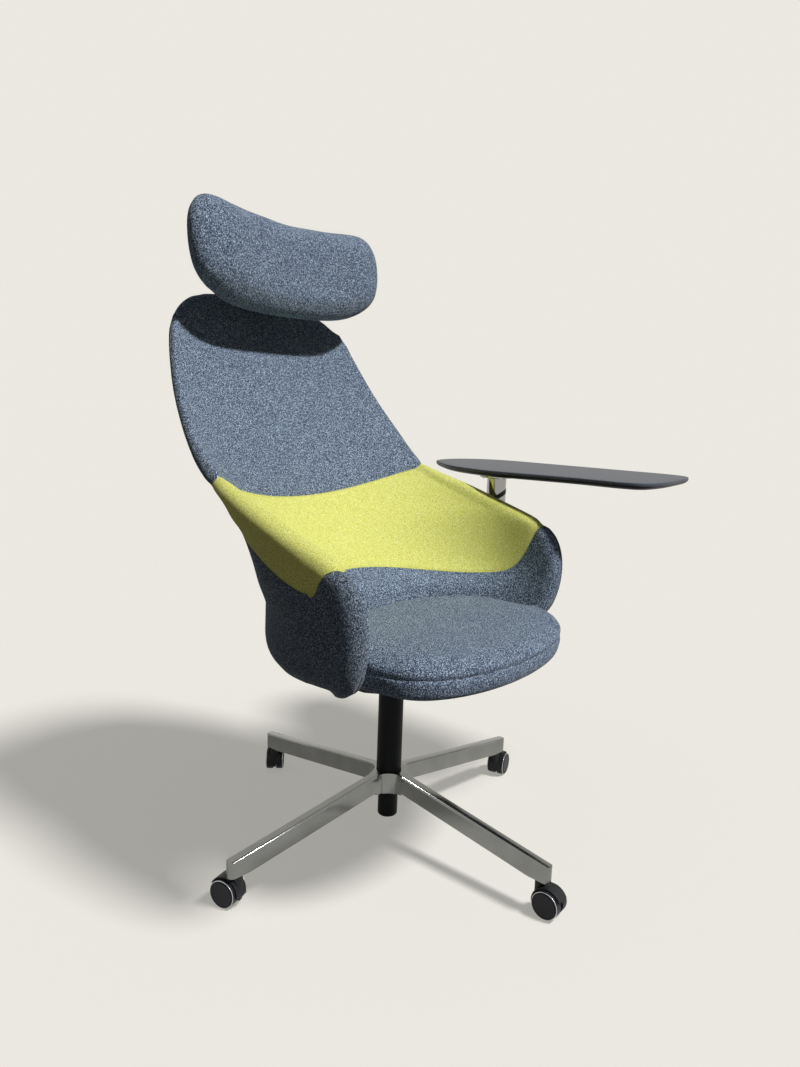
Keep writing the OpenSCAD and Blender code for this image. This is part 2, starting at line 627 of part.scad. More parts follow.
// A closed row: right half from the front middle round to the back middle, then the left half back
function skin_row(v, share) =
  let (right = [for (i = [0 : half_cols]) skin_point(v, i, share)])
  concat(right, [for (i = [half_cols - 1 : -1 : 1]) [-right[i][0], right[i][1], right[i][2]]]);
core_share = core_back_share - core_front_share;
seam_v = seam_gap / shell_h * 6;
row_steps = [
  for (v = [0 : 0.5 : band_low - 0.5]) v, band_low - seam_v, band_low + seam_v,
  for (v = [band_low + 0.5 : 0.5 : band_top - 0.5]) v, band_top - seam_v, band_top + seam_v,
  for (v = [band_top + 0.5 : 0.5 : last_station - 1]) v, last_station - 0.4, last_station];

// Panels: which cells of the closed skin belong to each cover
function folded(c) = c < half_cols ? c : 2 * half_cols - 1 - c;
function in_band(v) = v > band_low && v < band_top;
function panel_of(v, c) =
  let (i = folded(c))
  i >= half_steps + rim_steps + wrap_steps ? 4
  : in_band(v) ? 2
  : i < half_steps + rim_steps / 2 ? (v < band_low ? 1 : 3) : 4;
function panel_cells(which) = [for (r = [0 : len(row_steps) - 2])
  let (v = (row_steps[r] + row_steps[r + 1]) / 2, seam = row_steps[r + 1] - row_steps[r] < 3 * seam_v)
  [for (c = [0 : 2 * half_cols - 1])
    panel_of(v, c) == which && !(seam && folded(c) < half_steps + rim_steps + wrap_steps) ? 1 : 0]];
skin_rows = [for (v = row_steps) skin_row(v, 1)];
core_rows = [for (v = row_steps) skin_row(v, core_share)];

module panel(which) {
  polyhedron(points = concat(flat(skin_rows), flat(core_rows)),
    faces = slab_faces(len(row_steps), 2 * half_cols, panel_cells(which), true), convexity = 8);
}

module back_pad() { color([0.38, 0.42, 0.5]) panel(3); }
module band_panel() { color([0.78, 0.8, 0.28]) panel(2); }
module lower_pad() { color([0.36, 0.4, 0.48]) panel(1); }
module outer_cover() { color([0.3, 0.33, 0.4]) panel(4); }

// The moulded core is the closed inner skin, with a strip of faces across its bottom and its top edge
function edge_strip(base, n, apex) =
  let (at = function(k) base + (apex + k + 2 * n) % n)
  flat([for (k = [0 : n / 2 - 1])
    k == 0 ? [[at(0), at(-1), at(1)]]
    : k == n / 2 - 1 ? [[at(k), at(-k), at(k + 1)]]
    : quad(at(k), at(-k), at(-k - 1), at(k + 1))]);
module shell_core() {
  n = len(core_rows);
  cols = 2 * half_cols;
  apex = half_steps + rim_steps / 2;
  sides = flat([for (r = [0 : n - 2], c = [0 : cols - 1])
    let (a = r * cols + c, b = r * cols + (c + 1) % cols)
    turned_quad(a, a + cols, b + cols, b, c < half_cols)]);
  low = [for (f = edge_strip(0, cols, apex)) [f[0], f[2], f[1]]];
  color("tan") polyhedron(points = flat(core_rows),
    faces = concat(sides, low, edge_strip((n - 1) * cols, cols, apex)), convexity = 8);
}

// Headrest: pillow with drawn-in rim, plate inside, bracket to the back of the shell
// Outline of the right half from the bottom to the top, as shares of the half width and the height
headrest_x_shares = [0, 0.35, 0.62, 0.80, 0.905, 0.96, 0.985, 0.998, 1, 0.995, 0.97, 0.91, 0.81, 0.62, 0.33, 0];
headrest_z_shares = [-0.50, -0.487, -0.44, -0.343, -0.245, -0.147, -0.049, 0.049, 0.147, 0.25, 0.355, 0.455, 0.505,
  0.505, 0.485, 0.466];
headrest_step = 0.625;
function leaning(up) = up * tan(headrest_lean);
function headrest_edge(u) =
  let (n = len(headrest_x_shares) - 1, left = u > n, w = left ? 2 * n - u : u)
  [headrest_half_w * (left ? -1 : 1) * smooth(headrest_x_shares, w), headrest_h * smooth(headrest_z_shares, w)];
function headrest_ring(share, y) = [for (k = [0 : 47])
  let (p = headrest_edge(k * headrest_step) * share)
  [p[0], headrest_y + y + leaning(p[1]) - headrest_curve * pow(p[0] / headrest_half_w, 2), headrest_z + p[1]]];
// Rings from the back to the front: size of the outline and depth as shares
headrest_ring_shares = [0.3, 0.55, 0.75, 0.88, 0.955, 0.99, 1, 0.99, 0.955, 0.88, 0.75, 0.55, 0.3];
headrest_depth_shares = [0.5, 0.49, 0.46, 0.39, 0.28, 0.14, 0, -0.14, -0.28, -0.39, -0.46, -0.49, -0.5];
module headrest_cushion() {
  color([0.38, 0.42, 0.5]) ring_stack([for (i = [0 : len(headrest_ring_shares) - 1])
    headrest_ring(headrest_ring_shares[i], headrest_t * headrest_depth_shares[i])]);
}

plate_y = headrest_y + headrest_t / 2 + gap;
rest_plate_w = headrest_half_w * 0.62;
rest_plate_h = headrest_h * 0.42;
rest_plate_t = back_edge_r * 0.4;
rest_bracket_w = headrest_half_w * 0.36;
rest_bracket_t = back_edge_r * 0.5;
rest_screw_x = rest_bracket_w * 0.34;
rest_screw_r = rest_bracket_t * 0.5;

// Outline of a bent strip of even thickness along a line of points
function strip_normal(p, i) =
  let (
    last = len(p) - 1, a = unit(p[min(i + 1, last)] - p[min(i, last - 1)]), b = unit(p[max(i, 1)] - p[max(i - 1, 0)]),
    m = unit([-a[1] - b[1], a[0] + b[0]])
  ) m / (m * [-b[1], b[0]]);
function strip_outline(p, t) = concat(
  [for (i = [0 : len(p) - 1]) p[i] + strip_normal(p, i) * t / 2],
  [for (i = [len(p) - 1 : -1 : 0]) p[i] - strip_normal(p, i) * t / 2]);
function behind(v) = let (p = back_skin(v, 0)) [p[1] + gap + rest_bracket_t * 0.6, p[2]];
low_path = [for (i = [0 : 3]) behind(last_station - 2.3 + 1.3 * i / 3)];
function on_plate(up) = [plate_y + fit + (rest_plate_t + rest_bracket_t / 2) / cos(headrest_lean) + leaning(up), headrest_z + up];
bracket_path = concat(low_path, [[low_path[3][0], headrest_z - rest_plate_h * 0.45],
  on_plate(-rest_plate_h * 0.25), on_plate(rest_plate_h * 0.4)]);
top_screw = on_plate(rest_plate_h * 0.15);

module at_rest_screws() {
  for (x = [-rest_screw_x, rest_screw_x]) {
    for (i = [0, 2]) let (a = low_path[i], b = low_path[i + 1], p = (a + b) / 2)
      translate([x, p[0], p[1]]) rotate([-90 - atan2(b[0] - a[0], b[1] - a[1]), 0, 0]) children();
    translate([x, top_screw[0], top_screw[1]]) rotate([-90 - headrest_lean, 0, 0]) children();
  }
}

module headrest_plate() {
  color("dimgray") translate([0, plate_y + rest_plate_t / cos(headrest_lean), headrest_z])
    rotate([90 - headrest_lean, 0, 0]) rounded_plate(rest_plate_w, rest_plate_h, rest_plate_h * 0.3, rest_plate_t);
}

module headrest_bracket() {
  color([0.1, 0.1, 0.11]) difference() {
    translate([-rest_bracket_w / 2, 0, 0]) rotate([90, 0, 90])
      linear_extrude(rest_bracket_w) polygon(strip_outline(bracket_path, rest_bracket_t));
    at_rest_screws() cylinder(r = rest_screw_r, h = rest_bracket_t * 2, center = true, $fn = small_fn);
  }
}

module headrest_screws() {
  color("gray") at_rest_screws() {
    translate([0, 0, -rest_bracket_t / 2]) cylinder(r = rest_screw_r, h = rest_bracket_t, $fn = small_fn);
    translate([0, 0, rest_bracket_t / 2]) difference() {
      cylinder(r = rest_screw_r * 1.9, h = rest_screw_r, $fn = small_fn);
      translate([0, 0, rest_screw_r * 0.4]) cylinder(r = rest_screw_r * 0.8, h = rest_screw_r, $fn = 6);
    }
  }
}

// Tablet: bar under the seat pan, chrome post with a slanting ring, swivel plate and top
post_r = post_d / 2;
post_wall = post_d * 0.06;
bar_z = pan_z - gap - bar_t;
ring_t = post_d * 0.22;
head_top_z = tablet_z - swivel_t - 2 * gap - washer_t;

module at_post(z) { translate([post_x, post_y, z]) children(); }
module slant_half(up, shift) {
  at_post(ring_z) rotate([0, ring_tilt, ring_heading]) translate([0, 0, up ? shift + tablet_l / 2 : shift - tablet_l / 2])
    cube(tablet_l, center = true);
}

module tablet_bracket() {
  eye_r = post_r * 1.2;
  color("dimgray") difference() {
    union() {
      translate([bar_start, post_y - bar_w / 2, bar_z]) cube([post_x - bar_start, bar_w, bar_t]);
      at_post(bar_z) cylinder(r = eye_r, h = bar_t, $fn = round_fn);
    }
    for (x = bracket_screw_x) translate([x, post_y, bar_z - eps]) cylinder(d = bolt_d, h = bar_t * 2, $fn = small_fn);
  }
}

module bracket_screws() {
  color("gray") for (x = bracket_screw_x) translate([x, post_y, 0]) {
    translate([0, 0, bar_z]) cylinder(d = bolt_d, h = bar_t + gap + pan_t * 0.7, $fn = small_fn);
    translate([0, 0, bar_z - bolt_head_h]) difference() {
      cylinder(d = bolt_d * 1.7, h = bolt_head_h, $fn = small_fn);
      translate([0, 0, -eps]) cylinder(d = bolt_d * 0.8, h = bolt_head_h * 0.6 + eps, $fn = 6);
    }
  }
}

module tablet_post() {
  foot = bar_z + bar_t;
  color("silver") difference() {
    at_post(foot) cylinder(r = post_r, h = ring_z + post_d - foot, $fn = round_fn);
    at_post(foot + post_wall * 2) cylinder(r = post_r - post_wall, h = ring_z, $fn = round_fn);
    slant_half(true, -ring_t / 2);
  }
}

module slant_ring() {
  color([0.05, 0.05, 0.05]) difference() {
    at_post(ring_z - post_d) cylinder(r = post_r + seam_gap, h = post_d * 2, $fn = round_fn);
    slant_half(true, ring_t / 2);
    slant_half(false, -ring_t / 2);
  }
}

module tablet_head() {
  color("silver") difference() {
    at_post(ring_z - post_d) cylinder(r = post_r, h = head_top_z - ring_z + post_d, $fn = round_fn);
    slant_half(false, ring_t / 2);
    at_post(head_top_z - spigot_l - gap) cylinder(r = spigot_r + fit, h = spigot_l + gap + eps, $fn = round_fn);
  }
}

module swivel_washer() {
  color("black") at_post(head_top_z) difference() {
    cylinder(r = post_r * 0.96, h = washer_t, $fn = round_fn);
    translate([0, 0, -eps]) cylinder(r = spigot_r + fit * 2, h = washer_t + 2 * eps, $fn = round_fn);
  }
}

module at_tablet_screws(z) {
  for (a = [45 : 90 : 315]) at_post(z) rotate([0, 0, a]) translate([swivel_r * 0.76, 0, 0]) children();
}

module swivel_plate() {
  color("dimgray") difference() {
    union() {
      at_post(tablet_z - swivel_t) cylinder(r = swivel_r, h = swivel_t, $fn = round_fn);
      at_post(head_top_z - spigot_l) cylinder(r = spigot_r, h = tablet_z - head_top_z + spigot_l - eps, $fn = round_fn);
    }
    at_tablet_screws(tablet_z - swivel_t - eps) cylinder(d = bolt_d * 0.6, h = swivel_t * 2, $fn = small_fn);
  }
}

module tablet_screws() {
  color("gray") at_tablet_screws(tablet_z - swivel_t) {
    cylinder(d = bolt_d * 0.6, h = swivel_t, $fn = small_fn);
    translate([0, 0, -bolt_d * 0.3]) cylinder(d = bolt_d, h = bolt_d * 0.3, $fn = small_fn);
  }
}

// Outline of the top: shares of its width and length from the post, clockwise from the rear
tablet_x_shares = [0.11, 0.30, 0.54, 0.73, 0.81, 0.79, 0.76, 0.73, 0.70, 0.59, 0.32, 0.04, -0.15, -0.20, -0.175, -0.185,
  -0.195, -0.13, -0.03];
tablet_y_shares = [0.29, 0.38, 0.39, 0.325, 0.205, 0.015, -0.18, -0.37, -0.525, -0.60, -0.615, -0.615, -0.585, -0.50, -0.35,
  -0.195, -0.03, 0.105, 0.205];
outline_steps = 4;
function wrap_smooth(tab, v) =
  let (n = len(tab), i = floor(v), t = v - i, t2 = t * t, t3 = t2 * t,
    p = [for (k = [-1 : 2]) tab[(i + k + n) % n]])
  (p[1] * 2 + (p[2] - p[0]) * t + (p[0] * 2 - p[1] * 5 + p[2] * 4 - p[3]) * t2
    + (p[1] * 3 - p[0] - p[2] * 3 + p[3]) * t3) / 2;
function tablet_point(k) = [
  post_x + tablet_w * wrap_smooth(tablet_x_shares, k / outline_steps),
  post_y + tablet_l * wrap_smooth(tablet_y_shares, k / outline_steps)];
tablet_points = len(tablet_x_shares) * outline_steps;
function tablet_ring(inset, z) = [for (k = [tablet_points : -1 : 1])
  let (a = tablet_point((k + 1) % tablet_points), b = tablet_point(k - 1), n = unit([b[1] - a[1], a[0] - b[0]]),
    p = tablet_point(k % tablet_points) - n * inset) [p[0], p[1], z]];
// Edge from below: inset as a share of the thickness, height as a share of it
edge_inset_shares = [1.1, 0.72, 0.36, 0.1, 0, 0, 0.05, 0.17];
edge_height_shares = [0, 0.06, 0.2, 0.42, 0.62, 0.82, 0.94, 1];

module tablet_top() {
  color([0.35, 0.38, 0.43]) ring_stack([for (i = [0 : len(edge_inset_shares) - 1])
    tablet_ring(tablet_t * edge_inset_shares[i], tablet_z + gap / 2 + (tablet_t - gap / 2) * edge_height_shares[i])]);
}

base_star();
column_tube();
guide_bush();
piston_rod();
thrust_bearing();
retaining_clip();
stem(0);  // stem_1
caster_hood(0);  // caster_hood_1
axle(0);  // axle_1
wheel(0, 1);  // wheel_1_left
wheel(0, -1);  // wheel_1_right
stem(1);  // stem_2
caster_hood(1);  // caster_hood_2
axle(1);  // axle_2
wheel(1, 1);  // wheel_2_left
wheel(1, -1);  // wheel_2_right
stem(2);  // stem_3
caster_hood(2);  // caster_hood_3
axle(2);  // axle_3
wheel(2, 1);  // wheel_3_left
wheel(2, -1);  // wheel_3_right
stem(3);  // stem_4
caster_hood(3);  // caster_hood_4
axle(3);  // axle_4
wheel(3, 1);  // wheel_4_left
wheel(3, -1);  // wheel_4_right
gas_cylinder();
seat_plate();
plate_bolts();
lever_bracket();
height_lever();
seat_pan();
seat_cushion();
shell_core();
back_pad();
band_panel();
lower_pad();
outer_cover();
headrest_bracket();
headrest_screws();
headrest_plate();
headrest_cushion();
tablet_bracket();
bracket_screws();
tablet_post();
slant_ring();
tablet_head();
swivel_washer();
swivel_plate();
tablet_screws();
tablet_top();
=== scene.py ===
"""Task chair with a writing tablet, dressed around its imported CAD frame."""

import json
import math

import bmesh
import bpy
from mathutils import Matrix, Vector
from mathutils.bvhtree import BVHTree
from mathutils.kdtree import KDTree

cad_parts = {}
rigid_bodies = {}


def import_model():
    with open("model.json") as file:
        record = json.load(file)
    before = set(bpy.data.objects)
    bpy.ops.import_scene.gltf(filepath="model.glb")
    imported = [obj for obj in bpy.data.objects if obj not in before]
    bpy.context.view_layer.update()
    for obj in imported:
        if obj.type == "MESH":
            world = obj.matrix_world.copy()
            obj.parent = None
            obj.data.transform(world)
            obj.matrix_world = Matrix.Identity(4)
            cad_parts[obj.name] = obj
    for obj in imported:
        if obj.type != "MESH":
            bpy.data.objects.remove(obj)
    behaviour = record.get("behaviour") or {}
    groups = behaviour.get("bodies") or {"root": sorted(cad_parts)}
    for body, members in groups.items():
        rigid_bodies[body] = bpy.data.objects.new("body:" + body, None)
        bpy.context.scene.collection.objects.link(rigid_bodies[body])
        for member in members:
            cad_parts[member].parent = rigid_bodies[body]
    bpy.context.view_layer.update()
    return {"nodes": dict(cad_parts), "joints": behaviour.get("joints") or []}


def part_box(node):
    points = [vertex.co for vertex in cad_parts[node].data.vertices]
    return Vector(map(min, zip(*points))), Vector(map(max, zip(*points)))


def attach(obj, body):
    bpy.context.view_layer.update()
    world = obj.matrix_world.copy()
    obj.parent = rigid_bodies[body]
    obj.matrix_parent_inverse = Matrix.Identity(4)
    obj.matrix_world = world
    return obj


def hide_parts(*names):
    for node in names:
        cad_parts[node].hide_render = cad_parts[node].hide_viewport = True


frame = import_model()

# Four-star base

# One aluminium die casting, ground and polished all over: a hub with four
# tapering arms, flat on top and rounded along every edge by the polishing belt.
# It keeps the CAD solid's shape; only its edges are broken here.

BELT_RADIUS = 0.0016
CORNER_ANGLE = math.radians(28)
FLAT_ANGLE = math.radians(1)
SHADED_CORNER = math.radians(40)


class Wire:
    """An output socket of a finish. Sums and products on it become Math nodes."""

    def __init__(self, finish, socket):
        self.finish = finish
        self.socket = socket

    def maths(self, operation, *terms):
        return self.finish.node("ShaderNodeMath", {"operation": operation}, *terms)

    def __add__(self, other):
        return self.maths("ADD", self, other)

    def __mul__(self, other):
        return self.maths("MULTIPLY", self, other)

    def __gt__(self, other):
        return self.maths("GREATER_THAN", self, other)

    __radd__ = __add__
    __rmul__ = __mul__


class Finish:
    """A material in the making: its node tree and its shader."""

    def __init__(self, name, **constants):
        self.material = bpy.data.materials.new(name)
        self.material.use_nodes = True
        self.tree = self.material.node_tree
        self.shader = self.tree.nodes["Principled BSDF"]
        for socket, value in constants.items():
            self.shader.inputs[socket.replace("_", " ")].default_value = value

    def node(self, kind, settings=None, *inputs, out=0, **named):
        """Any node: its settings first, then the values or links of its sockets."""
        made = self.tree.nodes.new(kind)
        for setting, value in (settings or {}).items():
            if setting == "stops":
                ramp = made.color_ramp
                while len(ramp.elements) < len(value):
                    ramp.elements.new(1)
                for stop, (place, colour) in zip(ramp.elements, value):
                    stop.position = place
                    stop.color = colour
            else:
                setattr(made, setting, value)
        sockets = list(enumerate(inputs)) + [
            (key.replace("_", " "), value) for key, value in named.items()
        ]
        for key, value in sockets:
            self.join(made.inputs[key], value)
        return Wire(self, made.outputs[out])

    def join(self, socket, value):
        if isinstance(value, Wire):
            self.tree.links.new(value.socket, socket)
        else:
            socket.default_value = value

    def drive(self, **sockets):
        for key, value in sockets.items():
            self.join(self.shader.inputs[key.replace("_", " ")], value)
        return self.material

    def grain(self, size, detail=2.0, roughness=0.5, stretch=(1, 1, 1), turn=(0, 0, 0)):
        """Noise whose features are about size metres, on the piece's own metres."""
        place = self.node("ShaderNodeTexCoord", out="Object")
        if stretch != (1, 1, 1) or turn != (0, 0, 0):
            place = self.node(
                "ShaderNodeMapping", {"vector_type": "POINT"},
                Vector=place, Rotation=turn, Scale=stretch)
        return self.node(
            "ShaderNodeTexNoise", None, Vector=place, Scale=1 / size,
            Detail=detail, Roughness=roughness)

    def ramp(self, value, *stops):
        """Grey levels of value at each stop, as (place, level)."""
        return self.node(
            "ShaderNodeValToRGB",
            {"stops": [(place, (level, level, level, 1)) for place, level in stops]},
            value)

    def blend(self, share, first, second):
        """Colour first turning to colour second as share goes from 0 to 1."""
        mix = self.tree.nodes.new("ShaderNodeMix")
        mix.data_type = "RGBA"
        colours = [socket for socket in mix.inputs if socket.type == "RGBA"]
        self.join(mix.inputs[0], share)
        self.join(colours[0], first)
        self.join(colours[1], second)
        return Wire(self, [s for s in mix.outputs if s.type == "RGBA"][0])

    def relief(self, height, depth, strength=1.0):
        """Bumps of that depth in metres, for the shader's Normal."""
        return self.node(
            "ShaderNodeBump", None, Strength=strength, Distance=depth, Height=height)


def paint(material, *nodes):
    """CAD nodes that keep their own shape get their finish."""
    for node in nodes:
        for place in frame["nodes"][node].material_slots:
            place.material = material


def merged_copy(*nodes):
    """The named CAD solids as one mesh, with their loose triangles merged."""
    copy = bmesh.new()
    for index, node in enumerate(nodes):
        start = len(copy.faces)
        copy.from_mesh(frame["nodes"][node].data)
        copy.faces.ensure_lookup_table()
        for face in copy.faces[start:]:
            face.material_index = index
    bmesh.ops.remove_doubles(copy, verts=copy.verts, dist=1e-5)
    return copy


def as_object(name, shape, *materials, corner=None):
    """The finished bmesh as a smooth-shaded object at the origin."""
    data = bpy.data.meshes.new(name)
    shape.to_mesh(data)
    shape.free()
    data.shade_smooth()
    if corner is not None:
        data.set_sharp_from_angle(angle=corner)
    made = bpy.data.objects.new(name, data)
    bpy.context.scene.collection.objects.link(made)
    for material in materials:
        data.materials.append(material)
    return made


aluminium = Finish("polished_aluminium", Metallic=1.0)
smears = aluminium.grain(0.05, detail=3)
belt_marks = aluminium.grain(0.0011, detail=2, stretch=(1, 1, 0.12))
aluminium.drive(
    Base_Color=aluminium.blend(smears, (0.19, 0.195, 0.19, 1), (0.30, 0.305, 0.31, 1)),
    Roughness=0.12 + 0.1 * smears + 0.05 * belt_marks,
    Normal=aluminium.relief(belt_marks, 0.00002, 0.4))

star = merged_copy("base_star")
bmesh.ops.dissolve_limit(
    star, angle_limit=FLAT_ANGLE, verts=star.verts, edges=star.edges)
bmesh.ops.bevel(
    star, geom=[e for e in star.edges
                if e.is_convex and e.calc_face_angle() > CORNER_ANGLE],
    offset=BELT_RADIUS, segments=3, profile=0.5, affect="EDGES", material=-1,
    clamp_overlap=True)
base_casting = as_object(
    "base_casting", star, aluminium.material, corner=SHADED_CORNER)
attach(base_casting, "base")
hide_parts("base_star")

# Column and lift

# A black powder-coated steel tube pressed into the hub, with the gas cylinder
# sliding in a moulded bush at its top. A chromed rod, a ball thrust bearing and
# a spring clip at the foot carry it.

powder_coat = Finish(
    "black_powder_coat", Base_Color=(0.009, 0.011, 0.012, 1), Specular_IOR_Level=0.1)
orange_peel = powder_coat.grain(0.0016, detail=1)
handling = powder_coat.grain(0.03, detail=3)
powder_coat.drive(
    Roughness=0.42 + 0.16 * handling,
    Normal=powder_coat.relief(orange_peel, 0.00006, 0.5))
paint(powder_coat.material, "column_tube", "gas_cylinder", "lever_bracket",
      "seat_plate", "headrest_bracket", "headrest_plate", "tablet_bracket")

bright_steel = Finish("bright_steel", Metallic=1.0, Base_Color=(0.55, 0.55, 0.54, 1))
turning = bright_steel.grain(0.0006, detail=1)
bright_steel.drive(
    Roughness=0.2 + 0.18 * turning,
    Normal=bright_steel.relief(turning, 0.00001, 0.4))
paint(bright_steel.material, "piston_rod", "thrust_bearing", "retaining_clip",
      "plate_bolts", "headrest_screws", "bracket_screws", "tablet_screws",
      "stem_1", "stem_2", "stem_3", "stem_4", "axle_1", "axle_2", "axle_3", "axle_4")

# Twin-wheel casters

# Four swivelling casters: a moulded black hood between two black wheels on a
# steel axle. Each wheel carries a thin bright trim ring pressed round its
# outer face.

moulded = Finish(
    "black_moulding", Base_Color=(0.010, 0.011, 0.014, 1), Specular_IOR_Level=0.3)
spark_texture = moulded.grain(0.0007, detail=2)
scuffs = moulded.grain(0.012, detail=4, stretch=(1, 1, 3))
moulded.drive(
    Roughness=0.42 + 0.2 * scuffs,
    Normal=moulded.relief(spark_texture, 0.00005, 0.6))
paint(moulded.material, "guide_bush", "swivel_washer", "slant_ring", "seat_pan",
      "shell_core", "height_lever", "caster_hood_1", "caster_hood_2",
      "caster_hood_3", "caster_hood_4")

tyre = Finish("wheel_moulding", Specular_IOR_Level=0.3)
road_dust = tyre.grain(0.006, detail=4)
tyre.drive(
    Base_Color=tyre.blend(
        road_dust, (0.008, 0.009, 0.014, 1), (0.018, 0.019, 0.026, 1)),
    Roughness=0.38 + 0.22 * road_dust,
    Normal=tyre.relief(tyre.grain(0.0009, detail=2), 0.00004, 0.5))

trim = Finish("bright_trim", Metallic=1.0, Base_Color=(0.62, 0.63, 0.66, 1))
trim.drive(Roughness=0.16 + 0.14 * trim.grain(0.002, detail=2))

RING_WIRE = 0.0007
RING_SETBACK = 0.0015
RING_STEPS = 72
RIM_BAND = 0.0008
RIM_CLEARANCE = 1.5 * RING_WIRE
hinge_of = {joint["child"]: joint for joint in frame["joints"]}
for number in (1, 2, 3, 4):
    for side in ("left", "right"):
        wheel = f"wheel_{number}_{side}"
        paint(tyre.material, wheel)
        low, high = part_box(wheel)
        middle = (low + high) / 2
        axle = Vector(hinge_of[wheel]["axis"]).normalized()
        hood_low, hood_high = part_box(f"caster_hood_{number}")
        outward = axle if (middle - (hood_low + hood_high) / 2).dot(axle) > 0 else -axle
        offsets = [v.co - middle for v in frame["nodes"][wheel].data.vertices]
        profile = [(p.dot(outward), (p - p.dot(outward) * outward).length)
                   for p in offsets]
        seat = max(along for along, _ in profile) - RING_SETBACK
        # The ring stays inside the tread, clear of the floor.
        radius = min(
            max(reach for _, reach in profile) - RIM_CLEARANCE,
            max(reach for along, reach in profile if abs(along - seat) < RIM_BAND))
        ring = bmesh.new()
        bmesh.ops.create_circle(ring, segments=8, radius=RING_WIRE, cap_ends=False)
        bmesh.ops.transform(
            ring, matrix=Matrix.Rotation(math.pi / 2, 4, "X"), verts=ring.verts)
        bmesh.ops.translate(ring, vec=(radius, 0, 0), verts=ring.verts)
        bmesh.ops.spin(
            ring, geom=ring.verts[:] + ring.edges[:], cent=(0, 0, 0), axis=(0, 0, 1),
            angle=math.tau, steps=RING_STEPS, use_merge=True)
        bmesh.ops.recalc_face_normals(ring, faces=ring.faces)
        turn = outward.to_track_quat("Z", "Y").to_matrix().to_4x4()
        bmesh.ops.transform(
            ring, matrix=Matrix.Translation(middle + seat * outward) @ turn,
            verts=ring.verts)
        trim_ring = as_object(f"trim_ring_{number}_{side}", ring, trim.material)
        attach(trim_ring, wheel)

# Seat cushion

# Moulded foam in felted blue-grey melange wool: a crowned top panel sewn to a
# tapering boxing strip all round, with the seam topstitched just above. The
# stuffing is a short pressure simulation on the CAD solid's form.

VOXEL = 0.005
STUFFING_PRESSURE = 4
SETTLING_FRAMES = 20
SWELLING = 0.006
PULL = 0.9
FELTING_ROUNDS = 8


def melange(name, mid, light, dark, broad=0.06):
    """Felted melange wool: fine light and dark fibre flecks over a middle tone."""
    wool = Finish(
        name, Roughness=0.95, Sheen_Weight=0.12, Sheen_Roughness=0.5,
        Specular_IOR_Level=0.1)
    rising = wool.grain(0.0016, detail=2, roughness=0.6,
                        stretch=(1, 1, 0.6), turn=(0.0, 0.6, 0.3))
    falling = wool.grain(0.0014, detail=2, roughness=0.6,
                         stretch=(1, 0.6, 1), turn=(0.5, -0.4, 0.0))
    nap = wool.grain(0.0006, detail=1)
    drift = wool.grain(0.16, detail=2)
    colour = wool.blend(wool.ramp(rising, (0.49, 0), (0.60, 1)), mid, light)
    colour = wool.blend(wool.ramp(falling, (0.40, 1), (0.52, 0)), colour, dark)
    colour = wool.blend(broad * drift, colour, dark)
    return wool.drive(
        Base_Color=colour,
        Normal=wool.relief(rising + 0.5 * nap, 0.0005, 0.55))


def cage(shape):
    """Back from triangles to the quads that the form was laid out in."""
    bmesh.ops.join_triangles(
        shape, faces=shape.faces, cmp_materials=True,
        angle_face_threshold=math.radians(80), angle_shape_threshold=math.radians(80))
    return shape


def finished(made, *modifiers):
    """The object's mesh with its modifiers applied, in order."""
    for kind, settings in modifiers:
        modifier = made.modifiers.new(kind.lower(), kind)
        for setting, value in settings.items():
            setattr(modifier, setting, value)
    graph = bpy.context.evaluated_depsgraph_get()
    data = bpy.data.meshes.new_from_object(
        made.evaluated_get(graph), preserve_all_data_layers=True, depsgraph=graph)
    made.modifiers.clear()
    made.data = data
    return made


def drawn_through(made, levels=2, rounds=4):
    """Subdivision whose surface still passes through the points it starts from."""
    aims = [v.co.copy() for v in made.data.vertices]
    rounding = made.modifiers.new("rounding", "SUBSURF")
    rounding.levels = rounding.render_levels = levels
    for _ in range(rounds):
        graph = bpy.context.evaluated_depsgraph_get()
        reached = made.evaluated_get(graph).data.vertices
        reached = [v.co.copy() for v in reached]
        for point, aim, there in zip(made.data.vertices, aims, reached):
            point.co += PULL * (aim - there)
        made.data.update()
    return finished(made)


def stuffed(made, held=lambda point: False):
    """Pressure from inside rounds the form; no point moves further than SWELLING."""
    finished(made, ("REMESH", {"mode": "VOXEL", "voxel_size": VOXEL}))
    points = made.data.vertices
    start = [v.co.copy() for v in points]
    pins = made.vertex_groups.new(name="held")
    pins.add([v.index for v in points if held(v.co)], 1.0, "REPLACE")
    cloth = made.modifiers.new("cloth", "CLOTH")
    cloth.settings.quality = 5
    cloth.settings.mass = 0.3
    cloth.settings.use_pressure = True
    cloth.settings.uniform_pressure_force = STUFFING_PRESSURE
    cloth.settings.effector_weights.gravity = 0
    cloth.settings.vertex_group_mass = "held"
    cloth.point_cache.frame_start = 1
    cloth.point_cache.frame_end = SETTLING_FRAMES
    for moment in range(1, SETTLING_FRAMES + 1):
        bpy.context.scene.frame_set(moment)
    finished(made)
    bpy.context.scene.frame_set(1)
    points = made.data.vertices
    for point, origin in zip(points, start):
        shift = point.co - origin
        if shift.length > SWELLING:
            point.co = origin + shift.normalized() * SWELLING
    made.vertex_groups.clear()
    return made


def eased(shape):
    """Wool felted over the foam softens every bump that is left."""
    for _ in range(FELTING_ROUNDS):
        bmesh.ops.smooth_vert(
            shape, verts=shape.verts, factor=0.5,
            use_axis_x=True, use_axis_y=True, use_axis_z=True)


